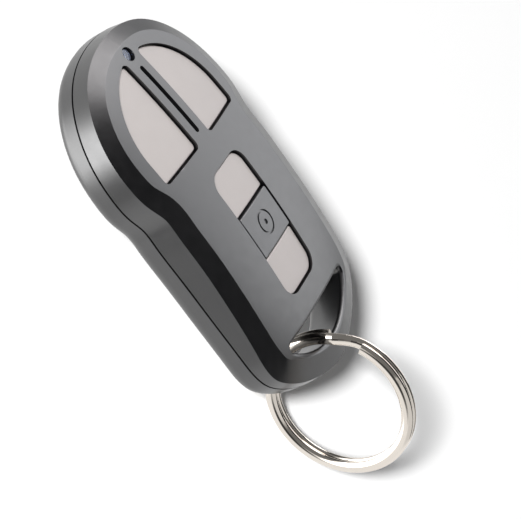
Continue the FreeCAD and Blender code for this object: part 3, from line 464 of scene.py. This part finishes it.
@dataclass(frozen=True)
class SoftPanel:
    """One round soft lamp of the studio, which faces the middle of the fob."""

    name: str
    place: Triple
    size: float
    radiance: float
    in_gloss: bool = True
    colour: Colour = (1.0, 1.0, 1.0)

    def build(self, lit: bpy.types.Collection) -> None:
        """Hang the panel.

        Args:
            lit: The only pieces that this panel lights.
        """
        data = bpy.data.lights.new(self.name, "AREA")
        data.shape = "DISK"
        data.size = self.size
        data.color = self.colour
        data.energy = math.pi * math.pi * (self.size / 2) ** 2 * self.radiance
        lamp = bpy.data.objects.new(self.name, data)
        lamp.location = self.place
        lamp.rotation_mode = "QUATERNION"
        lamp.rotation_quaternion = Vector(self.place).to_track_quat("Z", "Y")
        lamp.visible_glossy = self.in_gloss
        lamp.visible_camera = False
        lamp.light_linking.receiver_collection = lit
        bpy.context.scene.collection.objects.link(lamp)
        LOG.info("%s with radiance %.2f", self.name, self.radiance)


@dataclass(frozen=True)
class RoomPatch:
    """A soft-edged part of the room that is lighter or darker than the rest."""

    toward: Triple
    inner: float
    outer: float
    level: float


@dataclass(frozen=True)
class Studio:
    """Pale floor, soft lamps and a room that is pale below, dark overhead and dark behind the viewer.

    The gloss of the pieces shows the room below the horizon and not the floor, as on a lit glass table.
    The key lamp and the lamp for its shadow on the floor hang the same way, up to the left.
    """

    floor_half: float = 3.0
    floor_gap: float = 0.0004
    floor_tone: tuple[float, float] = (0.96, 0.98)
    floor_cloud_scale: float = 6.0
    room_level: float = 0.25
    patches: tuple[RoomPatch, ...] = (
        RoomPatch((0.0, 0.0, -1.0), 86.0, 94.0, 1.32),
        RoomPatch((-0.75, -0.60, 0.22), 22.0, 34.0, 1.0),
        RoomPatch((-0.98, -0.11, -0.17), 8.0, 20.0, 0.06),
        RoomPatch((-0.79, 0.48, -0.40), 6.0, 27.0, 7.8),
        RoomPatch((-0.45, 0.45, -0.77), 6.0, 30.0, 4.8),
        RoomPatch((0.55, -0.72, 0.42), 8.0, 32.0, 0.9),
        RoomPatch((-0.10, -0.25, 0.96), 38.0, 54.0, 0.005),
    )
    piece_lamps: tuple[SoftPanel, ...] = (
        SoftPanel("key_lamp", (-0.66825, 0.33233, 0.50299), 0.15, 142.0, in_gloss=False),
        SoftPanel("head_panel", (0.324, 0.252, 0.420), 0.42, 3.0, colour=(1.0, 0.97, 0.985)),
        SoftPanel("side_panel", (0.480, -0.048, 0.348), 0.62, 1.55, colour=(0.96, 0.97, 1.0)),
    )
    floor_lamp: SoftPanel = SoftPanel("floor_key_lamp", (-2.67788, 1.53327, 1.85419), 0.50, 385.0,
                                      in_gloss=False)

    def floor(self) -> bpy.types.Object:
        """Lay a pale floor just under the lowest point of the ring and hand it over."""
        low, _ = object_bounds()
        height = low.z - self.floor_gap
        near, far = -self.floor_half, self.floor_half
        corners = [(near, near, height), (far, near, height), (far, far, height), (near, far, height)]
        mesh = bpy.data.meshes.new("pale_floor")
        mesh.from_pydata(corners, [], [(0, 1, 2, 3)])
        sheet = NodeSheet.for_material("pale_floor")
        low_tone, high_tone = self.floor_tone
        tone = sheet.blend(sheet.noise(self.floor_cloud_scale), (low_tone,) * 3, (high_tone,) * 3)
        mesh.materials.append(sheet.surface(Base_Color=tone, Roughness=0.9, Specular_IOR_Level=0.1))
        floor = bpy.data.objects.new("pale_floor", mesh)
        bpy.context.scene.collection.objects.link(floor)
        floor.visible_glossy = False
        floor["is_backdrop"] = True
        return floor

    def room(self) -> None:
        """Light the room evenly but for its lighter and darker patches."""
        world = bpy.data.worlds.new("pale_room")
        bpy.context.scene.world = world
        sheet = NodeSheet(world)
        direction = sheet.add("ShaderNodeTexCoord").outputs["Generated"]
        level: float | Socket = self.room_level
        for patch in self.patches:
            dot = sheet.add("ShaderNodeVectorMath")
            dot.operation = "DOT_PRODUCT"
            sheet.link(direction, dot.inputs[0])
            dot.inputs[1].default_value = Vector(patch.toward).normalized()
            share = sheet.ranged(dot.outputs["Value"], 0.0, 1.0, math.cos(math.radians(patch.outer)),
                                 math.cos(math.radians(patch.inner)), eased=True)
            level = sheet.add("ShaderNodeMix", Factor=share, A=level, B=patch.level).outputs["Result"]
        light = sheet.add("ShaderNodeBackground", Strength=level)
        sheet.add("ShaderNodeOutputWorld", Surface=light.outputs["Background"])

    def build(self, nodes: Parts) -> None:
        """Set the whole studio up round the fob's parts."""
        pieces = bpy.data.collections.new("fob_pieces")
        for part in nodes.values():
            pieces.objects.link(part)
        ground = bpy.data.collections.new("ground")
        ground.objects.link(self.floor())
        self.room()
        for lamp in self.piece_lamps:
            lamp.build(pieces)
        self.floor_lamp.build(ground)
        bpy.context.scene.view_settings.view_transform = "Standard"
        LOG.info("studio ready")


def main() -> None:
    """Dress the fob and build the studio round it."""
    logging.basicConfig(level=logging.INFO, format="%(message)s")
    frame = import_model()
    nodes = frame["nodes"]
    for group in (CaseShell(), KeySet(), Indicator(), InnerParts(), KeyRing()):
        group.dress(nodes)
    Studio().build(nodes)
    ViewPoint().build()


if __name__ == "__main__":
    main()
